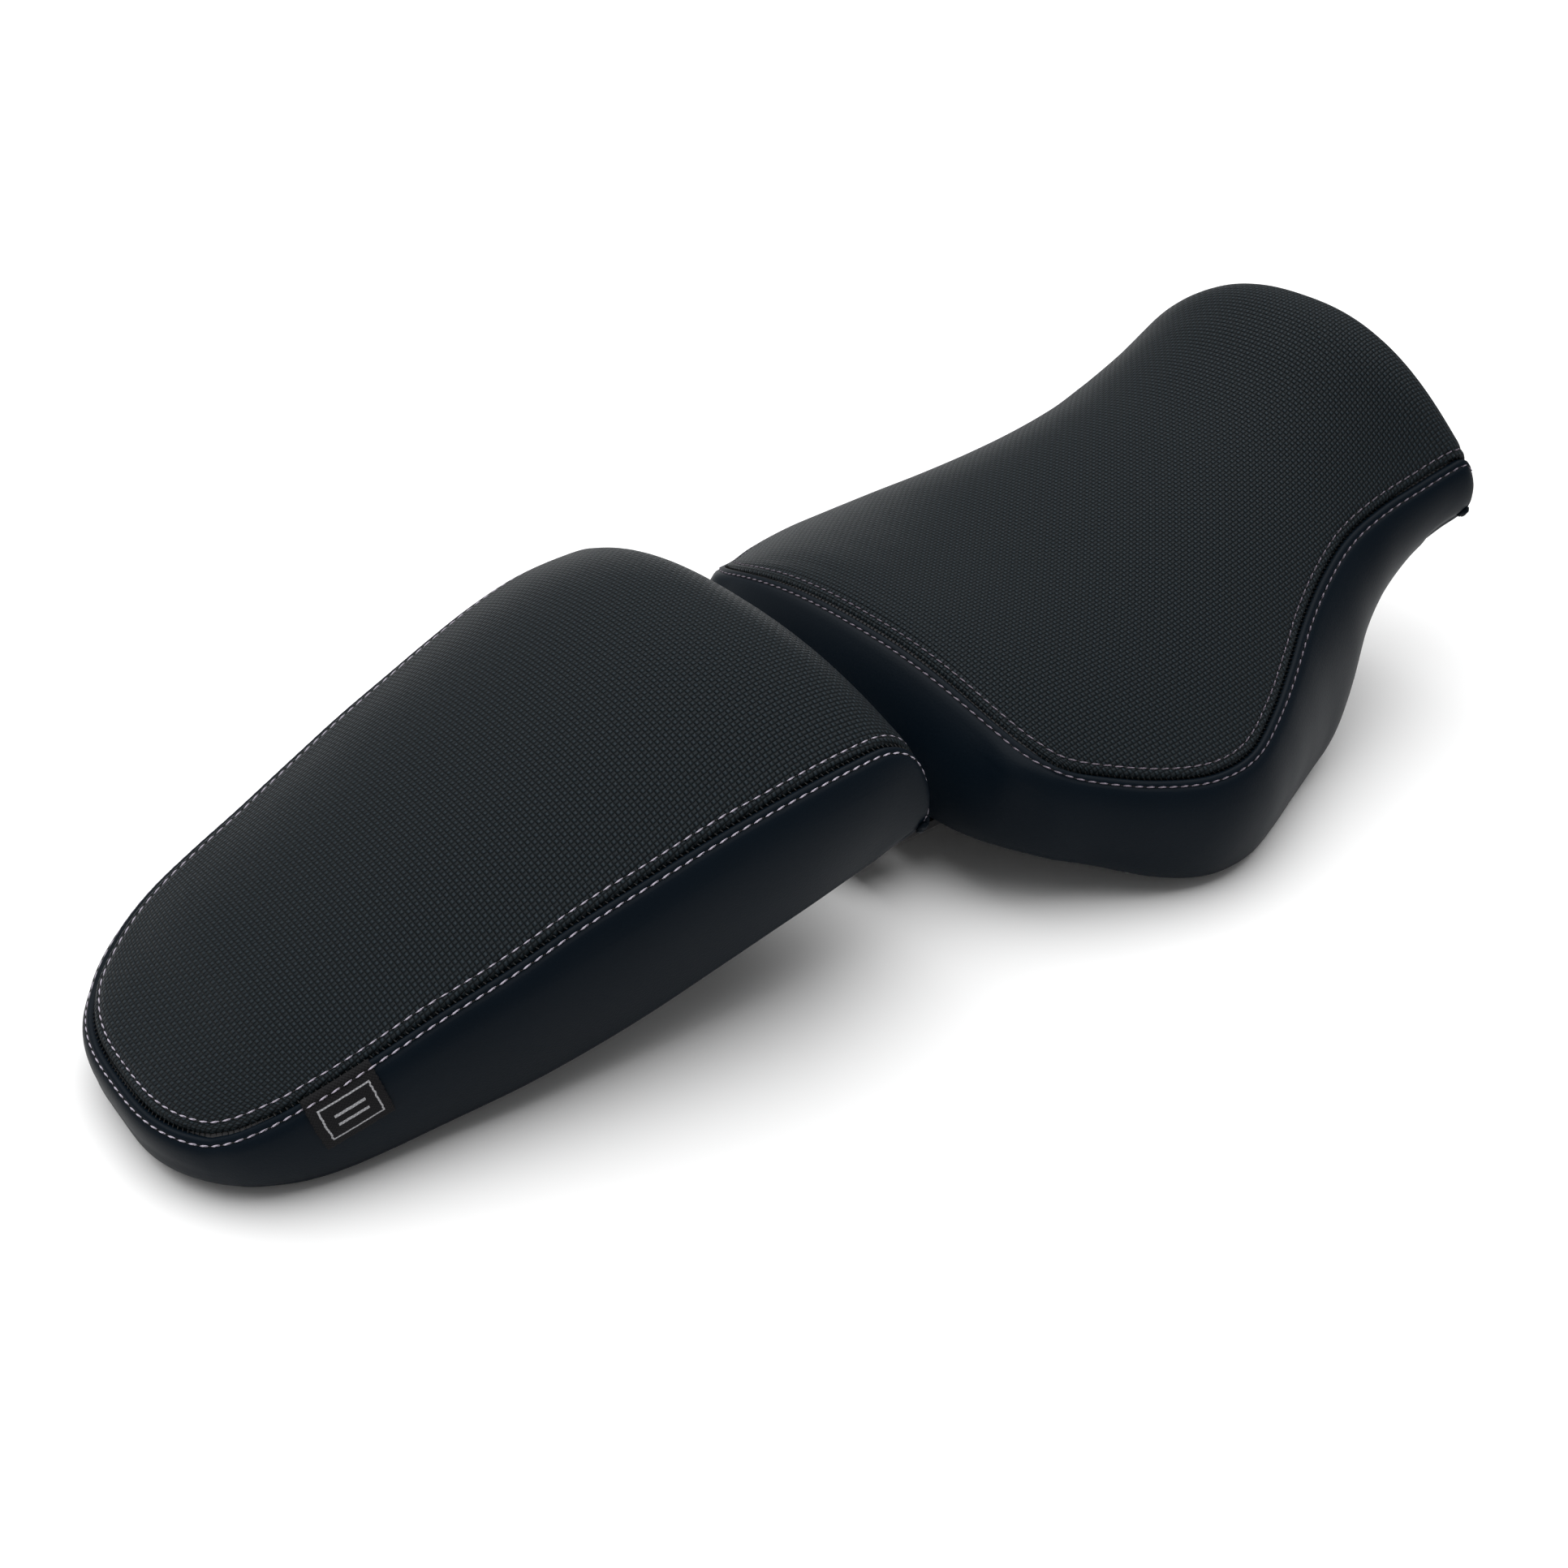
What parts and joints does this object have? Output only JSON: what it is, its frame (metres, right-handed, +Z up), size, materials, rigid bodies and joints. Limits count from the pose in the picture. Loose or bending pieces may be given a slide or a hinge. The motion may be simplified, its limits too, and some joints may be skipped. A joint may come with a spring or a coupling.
{
  "type": "motorcycle seat",
  "caption": "Two-piece upholstered motorcycle seat: a wide rider seat with a climbing nose, and a wedge-shaped pillion seat that hooks over a bar behind it and tilts up.",
  "frame": {"origin": "under the middle of the seat pair's bounding box, at the level of the rubber feet", "axes": "+X towards the motorcycle's front, +Y to the rider's left, +Z up"},
  "size_m": [0.7208, 0.3638, 0.1932],
  "materials": {
    "embossed_vinyl": "matte, embossed with a small basket weave",
    "smooth_vinyl": "soft satin, fine grain",
    "seat_foam": "open-cell, dull",
    "base_plastic": "moulded, lightly textured",
    "foot_rubber": "moulded, dull",
    "staple_wire": "drawn wire",
    "black_steel": "black powder coat",
    "zinc_steel": "zinc plated",
    "woven_tag": "tightly woven, dull"
  },
  "bodies": {
    "rider_seat": {"rider_bracket_bar": "zinc_steel", "rider_bracket_screws": "zinc_steel", "rider_feet": "foot_rubber", "rider_foam": "seat_foam", "rider_nose_tongue": "black_steel", "rider_pan": "base_plastic", "rider_rear_bracket": "black_steel", "rider_side_panel": "smooth_vinyl", "rider_staples": "staple_wire", "rider_tongue_rivets": "zinc_steel", "rider_top_panel": "embossed_vinyl"},
    "pillion_seat": {"pillion_feet": "foot_rubber", "pillion_foam": "seat_foam", "pillion_hook_screws": "zinc_steel", "pillion_hooks": "black_steel", "pillion_latch_loop": "zinc_steel", "pillion_loop_rivets": "zinc_steel", "pillion_pan": "base_plastic", "pillion_side_panel": "smooth_vinyl", "pillion_staples": "staple_wire", "pillion_tag": "woven_tag", "pillion_top_panel": "embossed_vinyl"}
  },
  "joints": [
    {"name": "pillion_tilt", "type": "hinge", "parent": "rider_seat", "child": "pillion_seat", "pos_m": [0.002, 0, 0.058], "axis": [0, 1, 0], "range_deg": [0, 40]}
  ]
}
